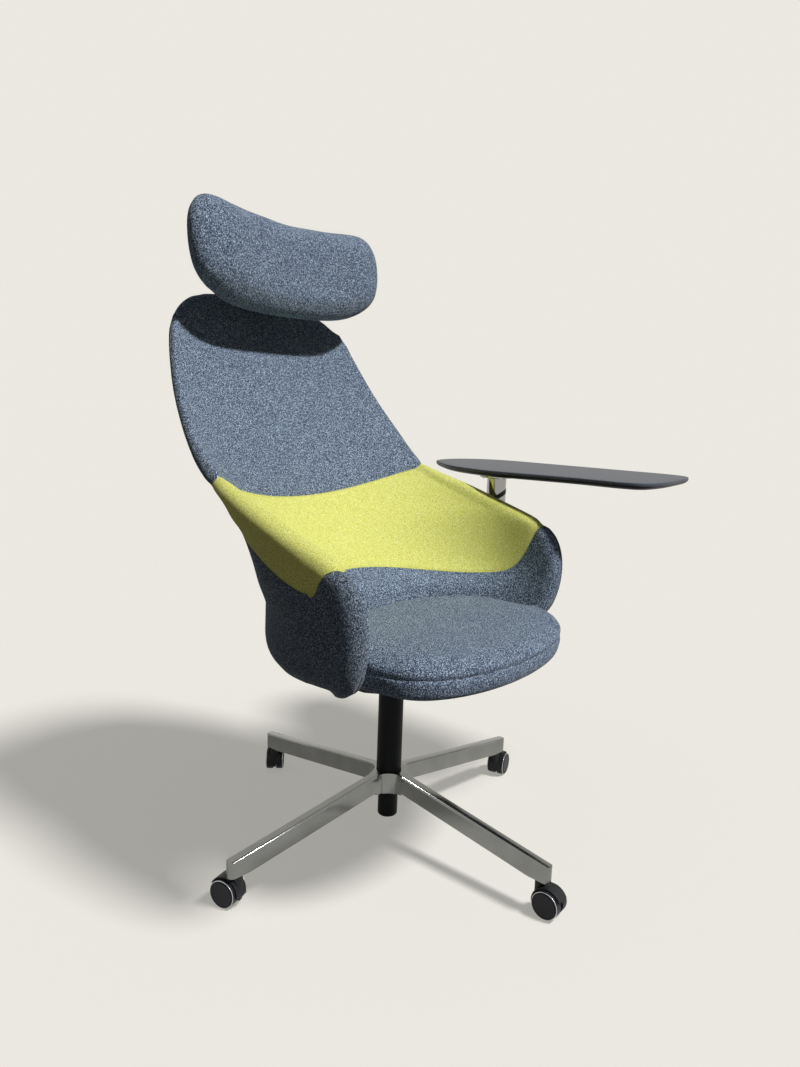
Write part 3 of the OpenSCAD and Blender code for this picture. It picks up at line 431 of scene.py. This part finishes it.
def grooved(shape, distance_to_seam, *creases):
    """Draws every vertex in along its normal, most at the seam itself.
    Each crease is (depth, width) in metres."""
    shape.normal_update()
    moves = []
    for vertex in shape.verts:
        gap = distance_to_seam(vertex.co)
        depth = sum(d * math.exp(-(gap / w) ** 2) for d, w in creases)
        moves.append((vertex, -vertex.normal * depth))
    for vertex, move in moves:
        vertex.co += move


blue_grey_wool = melange(
    "blue_grey_wool", (0.088, 0.128, 0.196, 1), (0.66, 0.80, 0.97, 1),
    (0.010, 0.016, 0.034, 1))

SEAT_SEAM = 0.435
HELD_BELOW_SEAM = 0.03
SEAM_CUTS = (-0.006, -0.003, -0.0012, 0, 0.0012, 0.003, 0.006)
SEAT_CREASES = ((0.0018, 0.0016), (0.0016, 0.006))

cushion_cage = cage(merged_copy("seat_cushion"))
seat_cushion = as_object("seat_pad", cushion_cage, blue_grey_wool)
drawn_through(seat_cushion)
stuffed(seat_cushion, held=lambda point: point.z < SEAT_SEAM - HELD_BELOW_SEAM)
padding = bmesh.new()
padding.from_mesh(seat_cushion.data)
eased(padding)
for step in SEAM_CUTS:
    bmesh.ops.bisect_plane(
        padding, geom=padding.verts[:] + padding.edges[:] + padding.faces[:],
        plane_co=(0, 0, SEAT_SEAM + step), plane_no=(0, 0, 1), dist=1e-6)
grooved(padding, lambda point: abs(point.z - SEAT_SEAM), *SEAT_CREASES)


def seam_path(shape, height):
    """The points of the longest line in which a level plane cuts the shape.
    Each line starts at its lowest x, so that the stitches fall the same each run."""
    sliced = shape.copy()
    cut = bmesh.ops.bisect_plane(
        sliced, geom=sliced.verts[:] + sliced.edges[:] + sliced.faces[:],
        plane_co=(0, 0, height), plane_no=(0, 0, 1), dist=1e-6)["geom_cut"]
    loose = {g for g in cut if isinstance(g, bmesh.types.BMEdge)}
    paths = []
    while loose:
        first = min(loose, key=lambda e: tuple(e.verts[0].co + e.verts[1].co))
        loose.discard(first)
        path = sorted(first.verts, key=lambda v: tuple(v.co))
        while True:
            onward = [e for e in path[-1].link_edges if e in loose]
            if not onward:
                break
            loose.discard(onward[0])
            path.append(onward[0].other_vert(path[-1]))
        paths.append([(v.co.copy(), v.normal.copy()) for v in path])
    sliced.free()
    return max(paths, key=len)


STITCH_PITCH = 0.0052
STITCH_ABOVE = 0.0068
STITCH_PROUD = 0.0001
STITCH_HALF_SIZES = (0.0019, 0.0005, 0.00045)

padding.normal_update()
path = seam_path(padding, SEAT_SEAM + STITCH_ABOVE)
stitching = bmesh.new()
travelled = 0
for (start, facing), (end, _) in zip(path, path[1:]):
    travelled += (end - start).length
    if travelled > STITCH_PITCH:
        travelled -= STITCH_PITCH
        along = (end - start).normalized()
        out = (facing - facing.dot(along) * along).normalized()
        lie = Matrix((along, out.cross(along), out)).transposed().to_4x4()
        bmesh.ops.create_icosphere(
            stitching, subdivisions=1, radius=1,
            matrix=Matrix.Translation(start + STITCH_PROUD * out) @ lie
            @ Matrix.Diagonal(STITCH_HALF_SIZES + (1,)))
thread = Finish("blue_grey_thread", Roughness=0.6, Specular_IOR_Level=0.3)
thread.drive(Base_Color=thread.blend(
    thread.grain(0.0004, detail=1), (0.07, 0.09, 0.12, 1), (0.16, 0.19, 0.24, 1)))
seat_stitching = as_object("seat_stitching", stitching, thread.material)
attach(seat_stitching, "seat")

padding.to_mesh(seat_cushion.data)
padding.free()
seat_cushion.data.shade_smooth()
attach(seat_cushion, "seat")
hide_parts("seat_cushion")

# Shell covers

# Padding and wool glued over the moulded shell: blue-grey back and lower pads, the
# lime band over both arms, the outer cover in a darker wool, darkened in part as
# painted shade for the outer side. The lime seams are piped. All are one skin here,
# shaped as a whole and cut apart at the seams.

PANELS = ("back_pad", "band_panel", "lower_pad", "outer_cover")
CLOTHS = ("back_padding", "lime_band", "lower_padding", "outer_cloth")
LIME = PANELS.index("band_panel")
ON_CORE = 0.0008
SEAM_GAP = 0.0011
SEAM_STRIP = 0.0025
TOP_EDGE = 0.95
TOP_CORNER_POINTS = 5
TOP_SPREAD = 0.3
RIDGE = 0.007
CORNER_ROUNDS = 9
TIGHT_TURN = 0.9
TURN_REACHES = (0.012, 0.018, 0.026)
LIME_CREASES = ((0.0012, 0.0015), (0.0014, 0.006), (0.0010, 0.022))
PAD_DEPTH = 0.006
PIPING = 0.0011
PIPING_PROUD = 0.0006

lime_wool = melange(
    "lime_wool", (0.84, 0.85, 0.21, 1), (0.97, 0.97, 0.48, 1),
    (0.56, 0.56, 0.08, 1), broad=0.1)
# The outer cover's wool: a darker blue-grey melange, darker in part as painted shade
# for the outer side of the shell, which the key light does not reach.
dark_grey_wool = melange(
    "dark_grey_wool", (0.080, 0.108, 0.150, 1), (0.46, 0.55, 0.65, 1),
    (0.010, 0.014, 0.022, 1))
PANEL_WOOL = (blue_grey_wool, lime_wool, blue_grey_wool, dark_grey_wool)

core = merged_copy("shell_core")
core_surface = BVHTree.FromBMesh(core)
core.free()
skin = merged_copy(*PANELS)
glued = {v for v in skin.verts if core_surface.find_nearest(v.co)[3] < ON_CORE}
bmesh.ops.delete(
    skin, geom=[f for f in skin.faces if any(v in glued for v in f.verts)],
    context="FACES")
bmesh.ops.remove_doubles(skin, verts=skin.verts, dist=SEAM_GAP)


def walked(edges, start):
    """The vertices along a chain of edges, in order from start."""
    path, ahead = [start], set(edges)
    while ahead:
        step = next(e for e in path[-1].link_edges if e in ahead)
        ahead.remove(step)
        path.append(step.other_vert(path[-1]))
    return path


# The outer cloth is turned over the top edge of the shell and sewn to the back pad.
top_edges = [e for e in skin.edges if e.is_boundary
             and min(v.co.z for v in e.verts) > TOP_EDGE]
pad_side = [e for e in top_edges
            if PANELS[e.link_faces[0].material_index] == "back_pad"]
cloth_side = [e for e in top_edges if e not in pad_side]
meeting = next(v for e in pad_side for v in e.verts
               if any(v in other.verts for other in cloth_side))
top_line = walked(pad_side, meeting)
sewn = {}
for pad_point, cloth_point in zip(top_line, walked(cloth_side, meeting)):
    if pad_point is not cloth_point:
        higher = max(pad_point.co.z, cloth_point.co.z)
        pad_point.co = (pad_point.co + cloth_point.co) / 2
        pad_point.co.z = higher
        sewn[cloth_point] = pad_point
# Its two ends run straight down to the corners, and the rest is raised by what the
# smoothing of tight turns takes off again.
for line in (top_line[:TOP_CORNER_POINTS], top_line[::-1][:TOP_CORNER_POINTS]):
    rise = line[-1].co.z - line[0].co.z
    for place, point in enumerate(line):
        point.co.z = line[0].co.z + rise * place / (TOP_CORNER_POINTS - 1)
for point in sewn.values():
    point.co += RIDGE * Vector((point.co.x / TOP_SPREAD, 0, 1)).normalized()
bmesh.ops.weld_verts(skin, targetmap=sewn)
bmesh.ops.recalc_face_normals(skin, faces=skin.faces)
cage(skin)


def seams_of(shape):
    return [e for e in shape.edges if len(e.link_faces) == 2
            and e.link_faces[0].material_index != e.link_faces[1].material_index]


def beside_lime(edge):
    return LIME in [face.material_index for face in edge.link_faces]


def dense_points(edges, spacing=0.001):
    for edge in edges:
        start, end = (v.co for v in edge.verts)
        count = max(1, round((end - start).length / spacing))
        for step in range(count):
            yield start.lerp(end, step / count)


def seam_finder(edges):
    """How far a point lies from the nearest of those seams, in metres."""
    points = list(dense_points(edges))
    tree = KDTree(len(points))
    for place, point in enumerate(points):
        tree.insert(point, place)
    tree.balance()
    return lambda point: tree.find(point)[2]


covers = as_object("covers", skin, *PANEL_WOOL)
drawn_through(covers)
skin = bmesh.new()
skin.from_mesh(covers.data)
bpy.data.objects.remove(covers)

sewn_to = {}
for edge in seams_of(skin):
    for vertex in edge.verts:
        sewn_to.setdefault(vertex, []).append(edge.other_vert(vertex))
beside_seam = {e.other_vert(v) for v in sewn_to for e in v.link_edges} - set(sewn_to)
beside_seam = [v for v in beside_seam if not v.is_boundary]
for _ in range(CORNER_ROUNDS):
    eased_line = {v: v.co.lerp(sum((e.co for e in ends), Vector()) / len(ends), 0.5)
                  for v, ends in sewn_to.items() if len(ends) > 1}
    for vertex, place in eased_line.items():
        vertex.co = place
    bmesh.ops.smooth_vert(
        skin, verts=beside_seam, factor=0.4,
        use_axis_x=True, use_axis_y=True, use_axis_z=True)

# Foam can't follow a tight turn, nor fold back on itself: it rounds it off.
sharp_turn = seam_finder([e for e in skin.edges if len(e.link_faces) == 2
                          and e.calc_face_angle() > TIGHT_TURN])
for reach in TURN_REACHES:
    turning = [v for v in skin.verts if sharp_turn(v.co) < reach]
    for _ in range(CORNER_ROUNDS):
        bmesh.ops.smooth_vert(
            skin, verts=turning, factor=0.5,
            use_axis_x=True, use_axis_y=True, use_axis_z=True)

bmesh.ops.bevel(
    skin, geom=[e for e in seams_of(skin) if beside_lime(e)], offset=SEAM_STRIP,
    segments=4, profile=0.5, affect="EDGES", material=-1, clamp_overlap=True,
    loop_slide=True)
grooved(skin, seam_finder([e for e in seams_of(skin) if beside_lime(e)]),
        *LIME_CREASES)

piping_line = bmesh.new()
piping_points = {}
for edge in seams_of(skin):
    if beside_lime(edge):
        for v in edge.verts:
            if v not in piping_points:
                piping_points[v] = piping_line.verts.new(
                    v.co + v.normal * PIPING_PROUD)
        piping_line.edges.new([piping_points[v] for v in edge.verts])
piping = as_object("lime_piping", piping_line, lime_wool)
for made in bpy.context.selected_objects:
    made.select_set(False)
piping.select_set(True)
bpy.context.view_layer.objects.active = piping
bpy.ops.object.convert(target="CURVE")
piping = bpy.context.view_layer.objects.active
piping.data.bevel_depth = PIPING
piping.data.bevel_resolution = 2
bpy.ops.object.convert(target="MESH")
piping = bpy.context.view_layer.objects.active
piping.data.materials.clear()
piping.data.materials.append(lime_wool)
piping.data.shade_smooth()
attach(piping, "seat")

for index, panel in enumerate(PANELS):
    sheet = skin.copy()
    bmesh.ops.delete(
        sheet, geom=[f for f in sheet.faces if f.material_index != index],
        context="FACES")
    for face in sheet.faces:
        face.material_index = 0
    cover = as_object(CLOTHS[index], sheet, PANEL_WOOL[index])
    finished(cover, ("SOLIDIFY", {"thickness": PAD_DEPTH, "offset": -1}))
    cover.data.shade_smooth()
    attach(cover, "seat")
    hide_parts(panel)
skin.free()

# Headrest

# A dished foam pillow in the same blue-grey wool, screwed to a steel plate on
# the cranked bracket. One seam runs round its rear edge, where the back panel
# is sewn in.

HEADREST_Z = 1.130
HEADREST_HALF_WIDTH = 0.267
HEADREST_DISH = 0.038
HEADREST_LEAN = math.tan(math.radians(6))
REAR_SEAM_Y = 0.312 + 0.016
HEADREST_CREASES = ((0.0016, 0.0022), (0.0012, 0.006))

headrest = as_object(
    "headrest_pad", cage(merged_copy("headrest_cushion")), blue_grey_wool)
drawn_through(headrest)
stuffed(headrest)
pillow = bmesh.new()
pillow.from_mesh(headrest.data)
eased(pillow)
pillow.to_mesh(headrest.data)
pillow.free()
finished(headrest, ("SUBSURF", {"levels": 1, "render_levels": 1}))
pillow = bmesh.new()
pillow.from_mesh(headrest.data)
grooved(pillow, lambda point: abs(
    point.y - REAR_SEAM_Y - (point.z - HEADREST_Z) * HEADREST_LEAN
    + HEADREST_DISH * (point.x / HEADREST_HALF_WIDTH) ** 2),
    *HEADREST_CREASES)
pillow.to_mesh(headrest.data)
pillow.free()
headrest.data.shade_smooth()
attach(headrest, "seat")
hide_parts("headrest_cushion")

# Writing tablet

# A compact-laminate top, slate grey, screwed to a swivel plate. Its sloping underside
# edge carries painted shade: the board is near-black below a set share of its height.
# Its chromed post stands in a black bracket under the arm, with a slanting black ring.

chrome = Finish("post_chrome", Metallic=1.0, Base_Color=(0.36, 0.36, 0.355, 1))
wiping = chrome.grain(0.02, detail=3, stretch=(1, 1, 0.4))
chrome.drive(Roughness=0.05 + 0.08 * wiping)
paint(chrome.material, "tablet_post", "tablet_head", "swivel_plate")

laminate = Finish("slate_laminate", Specular_IOR_Level=0.08)
TABLET_LOW, TABLET_HIGH = (corner.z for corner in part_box("tablet_top"))
# Painted shade: the board is painted near-black below this share of its height, for the
# shade on its sloping underside edge.
PAINTED_SHADE_SHARE = 0.55
height = laminate.node(
    "ShaderNodeSeparateXYZ", None,
    Vector=laminate.node("ShaderNodeTexCoord", out="Object"), out=2)
painted_shade_line = TABLET_LOW + PAINTED_SHADE_SHARE * (TABLET_HIGH - TABLET_LOW)
speckle = laminate.grain(0.0012, detail=3)
pearl = laminate.grain(0.0016, detail=1)
slate = laminate.blend(speckle, (0.068, 0.077, 0.098, 1), (0.105, 0.117, 0.142, 1))
# Below the painted-shade line the colour is near-black painted shade; above it, slate.
laminate.drive(
    Base_Color=laminate.blend(height > painted_shade_line, (0.012, 0.013, 0.015, 1), slate),
    Roughness=0.34 + 0.12 * speckle,
    Normal=laminate.relief(pearl, 0.00003, 0.4))
tablet_board = as_object(
    "tablet_board", cage(merged_copy("tablet_top")), laminate.material)
drawn_through(tablet_board, rounds=0)
tablet_board.data.shade_smooth()
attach(tablet_board, "tablet")
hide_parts("tablet_top")

# Studio

# A pale seamless floor and surround with a little even fill. The key light comes
# from high in front: one lamp for the chair, and a broader one, further to the
# sitter's left, for the floor with the chair's shadow on it.

CREAM = (0.83, 0.81, 0.75)
FLOOR_SIZE = 60
KEY_STRENGTH = 3.0
KEY_DIRECTION = Vector((0.0, -0.70, 0.71))
KEY_SPREAD = math.radians(4)
FLOOR_KEY_DIRECTION = Vector((0.161, -0.490, 0.857))
FLOOR_KEY_SPREAD = math.radians(12)
FILL = 0.03
OVERHEAD = 0.13
MATT_SHARE = 0.65
BOUNCE = (0.11, 0.105, 0.10, 1)

# How brightly a white floor renders: the lamp's share, the fill's and the overhead's.
on_floor = (KEY_STRENGTH * FLOOR_KEY_DIRECTION.normalized().z / math.pi
            + FILL + OVERHEAD * 2 / 3)
floor_paint = Finish(
    "floor_paint", Roughness=0.9, Specular_IOR_Level=0.0, Emission_Strength=1.0)
watched = floor_paint.node(
    "ShaderNodeMath", {"operation": "MAXIMUM"},
    floor_paint.node("ShaderNodeLightPath", out="Is Camera Ray"),
    floor_paint.node("ShaderNodeLightPath", out="Is Glossy Ray"))
floor_paint.drive(
    Base_Color=floor_paint.blend(
        watched, BOUNCE, tuple(MATT_SHARE * c for c in CREAM) + (1,)),
    Emission_Color=floor_paint.blend(
        watched, (0, 0, 0, 1),
        tuple((1 - MATT_SHARE * on_floor) * c for c in CREAM) + (1,)))
sweep = bmesh.new()
bmesh.ops.create_grid(sweep, x_segments=1, y_segments=1, size=FLOOR_SIZE)
floor = as_object("studio_floor", sweep, floor_paint.material)

surround = bpy.data.worlds.new("surround")
surround.use_nodes = True
bpy.context.scene.world = surround
tree = surround.node_tree
tree.nodes.clear()
rays = tree.nodes.new("ShaderNodeLightPath")
seen = tree.nodes.new("ShaderNodeMath")
seen.operation = "MAXIMUM"
tree.links.new(rays.outputs["Is Camera Ray"], seen.inputs[0])
tree.links.new(rays.outputs["Is Glossy Ray"], seen.inputs[1])
fill = tree.nodes.new("ShaderNodeBackground")
fill.inputs["Color"].default_value = (1, 1, 1, 1)
upward = tree.nodes.new("ShaderNodeSeparateXYZ")
direction = tree.nodes.new("ShaderNodeTexCoord")
tree.links.new(direction.outputs["Generated"], upward.inputs[0])
overhead = tree.nodes.new("ShaderNodeMath")
overhead.operation = "MULTIPLY_ADD"
overhead.use_clamp = True
overhead.inputs[1].default_value = OVERHEAD
overhead.inputs[2].default_value = FILL
tree.links.new(upward.outputs["Z"], overhead.inputs[0])
tree.links.new(overhead.outputs[0], fill.inputs["Strength"])
backdrop = tree.nodes.new("ShaderNodeBackground")
backdrop.inputs["Color"].default_value = CREAM + (1,)
backdrop.inputs["Strength"].default_value = 1.0
either = tree.nodes.new("ShaderNodeMixShader")
tree.links.new(seen.outputs[0], either.inputs[0])
tree.links.new(fill.outputs[0], either.inputs[1])
tree.links.new(backdrop.outputs[0], either.inputs[2])
tree.links.new(either.outputs[0], tree.nodes.new("ShaderNodeOutputWorld").inputs[0])

chair_only = bpy.data.collections.new("lit_by_chair_key")
floor_only = bpy.data.collections.new("lit_by_floor_key")
floor_only.objects.link(floor)
for piece in bpy.context.scene.objects:
    if piece.type == "MESH" and piece is not floor:
        chair_only.objects.link(piece)
for name, towards_sun, spread, lit in (
        ("chair_key", KEY_DIRECTION, KEY_SPREAD, chair_only),
        ("floor_key", FLOOR_KEY_DIRECTION, FLOOR_KEY_SPREAD, floor_only)):
    sun = bpy.data.lights.new(name, "SUN")
    sun.energy = KEY_STRENGTH
    sun.angle = spread
    lamp = bpy.data.objects.new(name, sun)
    lamp.rotation_euler = towards_sun.to_track_quat("Z", "Y").to_euler()
    lamp.light_linking.receiver_collection = lit
    bpy.context.scene.collection.objects.link(lamp)

# The camera, solved from the base, the column and the outline of the chair.
FOCAL_LENGTH = 27.565
CAMERA_PLACE = Vector((-1.2649, -0.9170, 0.8695))
CAMERA_ANGLES = (-54.28, 9.135, 2.019)

lens = bpy.data.cameras.new("camera")
lens.sensor_fit = "AUTO"
lens.sensor_width = 36
lens.lens = FOCAL_LENGTH
camera = bpy.data.objects.new("camera", lens)
bpy.context.scene.collection.objects.link(camera)
azimuth, pitch, roll = (math.radians(angle) for angle in CAMERA_ANGLES)
back = Vector((math.sin(azimuth) * math.cos(pitch),
               -math.cos(azimuth) * math.cos(pitch), math.sin(pitch)))
right = (-back).cross(Vector((0, 0, 1))).normalized()
up = right.cross(-back)
tilted_right = math.cos(roll) * right + math.sin(roll) * up
tilted_up = -math.sin(roll) * right + math.cos(roll) * up
camera.matrix_world = Matrix.Translation(CAMERA_PLACE) @ Matrix(
    (tilted_right, tilted_up, back)).transposed().to_4x4()
bpy.context.scene.camera = camera
bpy.context.scene.view_settings.view_transform = "Standard"
